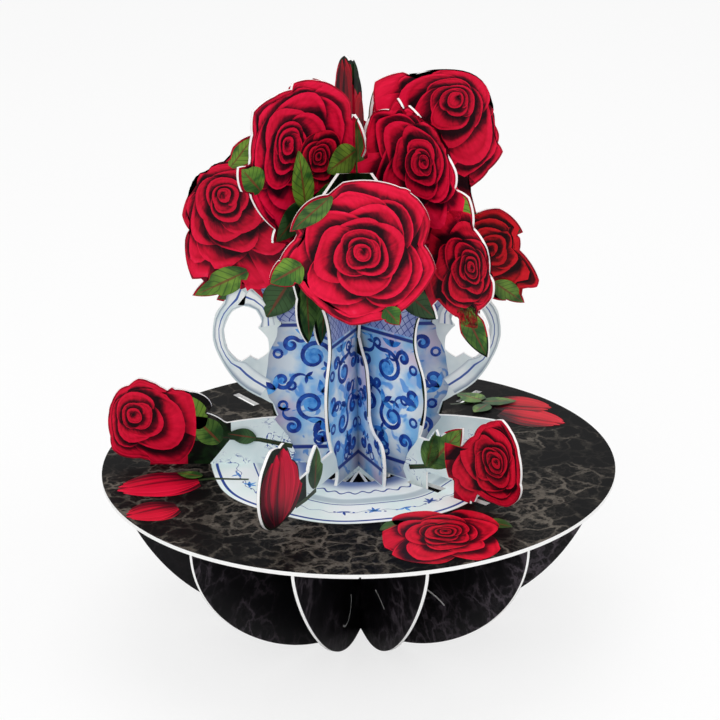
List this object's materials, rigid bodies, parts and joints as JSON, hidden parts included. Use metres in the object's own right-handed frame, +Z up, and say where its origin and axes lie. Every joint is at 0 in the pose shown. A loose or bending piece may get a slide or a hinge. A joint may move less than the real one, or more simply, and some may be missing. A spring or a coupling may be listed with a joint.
{
  "type": "pop-up greeting card",
  "caption": "Three-dimensional die-cut greeting card: red roses in a blue-and-white vase stand on a round black marble table carried by a bowl of folded fins.",
  "frame": {"origin": "on the table's axis, at the surface that the bowl of fins stands on", "axes": "+Z up, the front of the card faces -Y, +X to the right of a viewer in front"},
  "size_m": [0.156, 0.156, 0.1792],
  "materials": {
    "marble_board": "black marble print, semi-gloss, white cut edges",
    "vase_board": "blue-and-white china and red rose print, semi-gloss",
    "rose_board": "red rose and green leaf print, semi-gloss"
  },
  "bodies": {
    "root": {"tabletop": "marble_board", "base_cross_card": "marble_board", "base_front_outer_fold": "marble_board", "base_front_inner_fold": "marble_board", "base_back_outer_fold": "marble_board", "base_back_inner_fold": "marble_board", "cross_card": "vase_board", "front_outer_fold": "vase_board", "front_inner_fold": "vase_board", "back_outer_fold": "vase_board", "back_inner_fold": "vase_board", "front_rose_card": "rose_board", "back_rose_card": "rose_board"}
  },
  "joints": []
}
